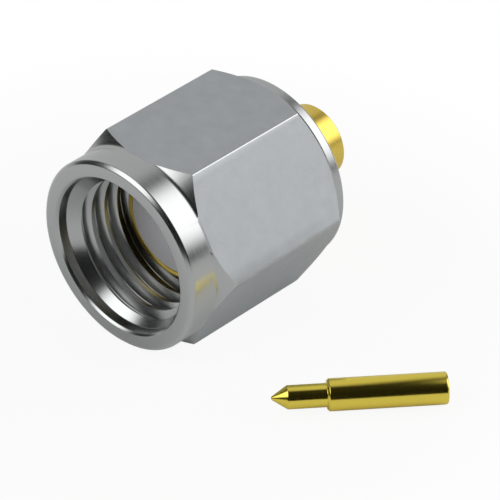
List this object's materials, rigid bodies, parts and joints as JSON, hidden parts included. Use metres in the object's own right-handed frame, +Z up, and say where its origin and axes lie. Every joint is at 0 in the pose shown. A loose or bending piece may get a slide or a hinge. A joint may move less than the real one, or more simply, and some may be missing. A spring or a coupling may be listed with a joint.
{
  "type": "sma connector",
  "caption": "Coaxial cable plug with a hexagonal coupling nut, gold-plated body and neck for semi-rigid cable, and its loose centre contact lying beside it.",
  "frame": {"origin": "on the plug's axis, in the mating plane at the front of the outer contact", "axes": "-Y points out of the mouth towards the jack, +Y along the cable, +Z up from the flat that lies downwards, +X towards the loose contact"},
  "size_m": [0.0168, 0.0114, 0.0082],
  "materials": {
    "stainless_steel": "turned and passivated stainless steel, satin flats, polished collar",
    "gold_plate": "gold plate on turned brass",
    "ptfe": "white PTFE, turned, slightly waxy",
    "spring_copper": "plain beryllium copper",
    "silicone": "dull moulded silicone rubber",
    "contact_gold": "bright gold plate on beryllium copper"
  },
  "bodies": {
    "plug_body": {"connector_body": "gold_plate", "insulator": "ptfe", "interface_gasket": "silicone", "contact_pin": "contact_gold"},
    "ring": {"retaining_ring": "spring_copper"},
    "nut": {"coupling_nut": "stainless_steel"}
  },
  "joints": [
    {"name": "nut_float", "type": "slide", "parent": "plug_body", "child": "ring", "axis": [0, -1, 0], "range_m": [0, 0.00035]},
    {"name": "nut_spin", "type": "hinge", "parent": "ring", "child": "nut", "pos_m": [0, 0.005, 0], "axis": [0, 1, 0], "continuous": true}
  ]
}
